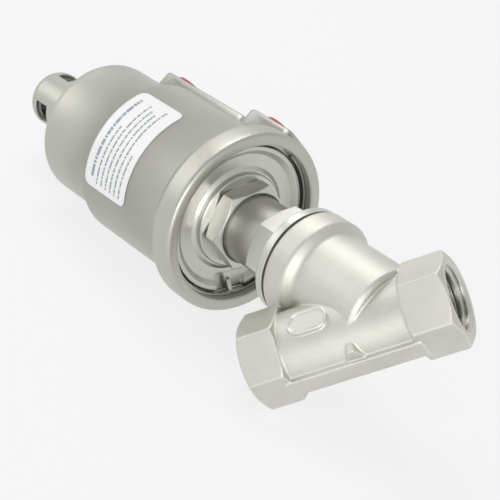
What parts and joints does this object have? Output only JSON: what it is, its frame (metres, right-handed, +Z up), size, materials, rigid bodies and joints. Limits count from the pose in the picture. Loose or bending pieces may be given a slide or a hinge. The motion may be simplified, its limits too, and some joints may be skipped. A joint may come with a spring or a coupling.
{
  "type": "angle seat valve",
  "caption": "Pneumatic angle seat valve: inclined cast steel body with threaded hexagon ends, cylindrical steel piston actuator and slotted position indicator cap, lying on its side.",
  "frame": {"origin": "on the floor under the centre of the bounding box of the valve lying on its side", "axes": "the stem runs towards the actuator along -X and dips 4.7 degrees towards the floor at its indicator end, +Z up from the floor, +Y completing the right-handed set"},
  "size_m": [0.2196, 0.0682, 0.0658],
  "materials": {
    "cast_steel": "bead-blasted stainless casting",
    "blasted_steel": "fine satin blasted stainless",
    "turned_steel": "turned and satin finished stainless",
    "spring_steel": "drawn wire",
    "dark_steel": "dark satin",
    "gasket": "dark graphite sheet",
    "rubber": "matte",
    "ptfe": "waxy matte",
    "red_plastic": "soft gloss"
  },
  "bodies": {
    "valve": {"valve_body": "cast_steel", "body_gasket": "gasket", "bonnet": "turned_steel", "packing_washer": "turned_steel", "packing_low": "ptfe", "packing_mid": "ptfe", "packing_top": "ptfe", "gland_sleeve": "turned_steel", "gland_nut": "turned_steel", "stem_seal": "rubber", "seal_washer": "turned_steel"},
    "actuator": {"actuator_housing": "blasted_steel", "adapter_nut": "turned_steel", "lower_cover": "turned_steel", "cover_oring": "rubber", "retaining_ring": "spring_steel", "spring_guide": "turned_steel", "indicator_cap": "blasted_steel"},
    "spindle": {"stem": "turned_steel", "valve_plug": "turned_steel", "seat_seal": "ptfe", "plug_nut": "turned_steel", "piston": "turned_steel", "piston_seal": "rubber", "piston_guide": "ptfe", "piston_nut": "turned_steel", "indicator_knob": "dark_steel", "closing_spring": "spring_steel"},
    "supply_cap": {"supply_plug": "red_plastic"},
    "exhaust_cap": {"exhaust_plug": "red_plastic"}
  },
  "joints": [
    {"name": "actuator_swivel", "type": "hinge", "parent": "valve", "child": "actuator", "pos_m": [0.01565, 0.00137, 0.0335], "axis": [-0.9966, 0, -0.0819], "continuous": true},
    {"name": "stem_lift", "type": "slide", "parent": "valve", "child": "spindle", "axis": [-0.9966, 0, -0.0819], "range_m": [0, 0.009], "stiffness_N_per_m": 2000, "springref_m": -0.01, "deforming": ["closing_spring"]},
    {"name": "supply_plug_pull", "type": "slide", "parent": "actuator", "child": "supply_cap", "axis": [-0.0606, 0.6727, 0.7375], "range_m": [0, 0.006]},
    {"name": "exhaust_plug_pull", "type": "slide", "parent": "actuator", "child": "exhaust_cap", "axis": [-0.0606, 0.6727, 0.7375], "range_m": [0, 0.006]}
  ]
}
